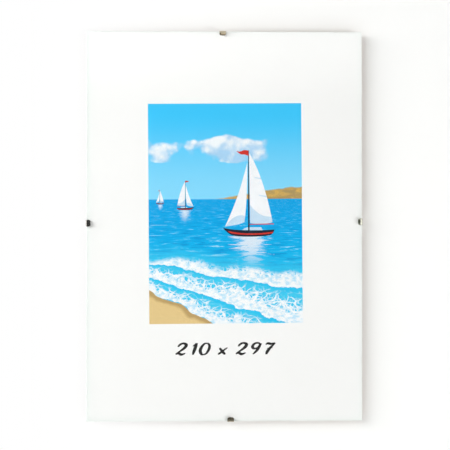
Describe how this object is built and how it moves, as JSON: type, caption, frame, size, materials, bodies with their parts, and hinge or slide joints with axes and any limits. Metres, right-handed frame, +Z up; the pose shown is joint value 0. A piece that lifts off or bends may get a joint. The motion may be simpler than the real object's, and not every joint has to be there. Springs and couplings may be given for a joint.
{
  "type": "clip frame",
  "caption": "Frameless A4 clip frame for a wall: a glass pane, a printed sheet and a hardboard back held together by sprung metal clips with keyhole hangers.",
  "frame": {"origin": "centre of the hanging hole in the top clip, midway through the clip's metal", "axes": "+Z up, +X to the viewer's right, +Y backwards to the wall; the glass faces -Y"},
  "size_m": [0.2112, 0.0113, 0.2982],
  "materials": {
    "glass": "polished float glass, ground edges",
    "insert_paper": "coated, printed with a picture",
    "hardboard": "pressed fibre, screen-textured back",
    "spring_steel": "nickel plated strip"
  },
  "bodies": {
    "frame": {"glass_pane": "glass", "print_sheet": "insert_paper", "backing_board": "hardboard"},
    "top_clip": {"clip_top": "spring_steel"},
    "bottom_clip": {"clip_bottom": "spring_steel"},
    "left_clip": {"clip_left": "spring_steel"},
    "right_clip": {"clip_right": "spring_steel"}
  },
  "joints": [
    {"name": "top_clip_pull", "type": "slide", "parent": "frame", "child": "top_clip", "axis": [0, 0, 1], "range_m": [0, 0.0035], "stiffness_N_per_m": 4000, "springref_m": -0.002},
    {"name": "bottom_clip_pull", "type": "slide", "parent": "frame", "child": "bottom_clip", "axis": [0, 0, -1], "range_m": [0, 0.0035], "stiffness_N_per_m": 4000, "springref_m": -0.002},
    {"name": "left_clip_pull", "type": "slide", "parent": "frame", "child": "left_clip", "axis": [-1, 0, 0], "range_m": [0, 0.0035], "stiffness_N_per_m": 4000, "springref_m": -0.002},
    {"name": "right_clip_pull", "type": "slide", "parent": "frame", "child": "right_clip", "axis": [1, 0, 0], "range_m": [0, 0.0035], "stiffness_N_per_m": 4000, "springref_m": -0.002}
  ]
}
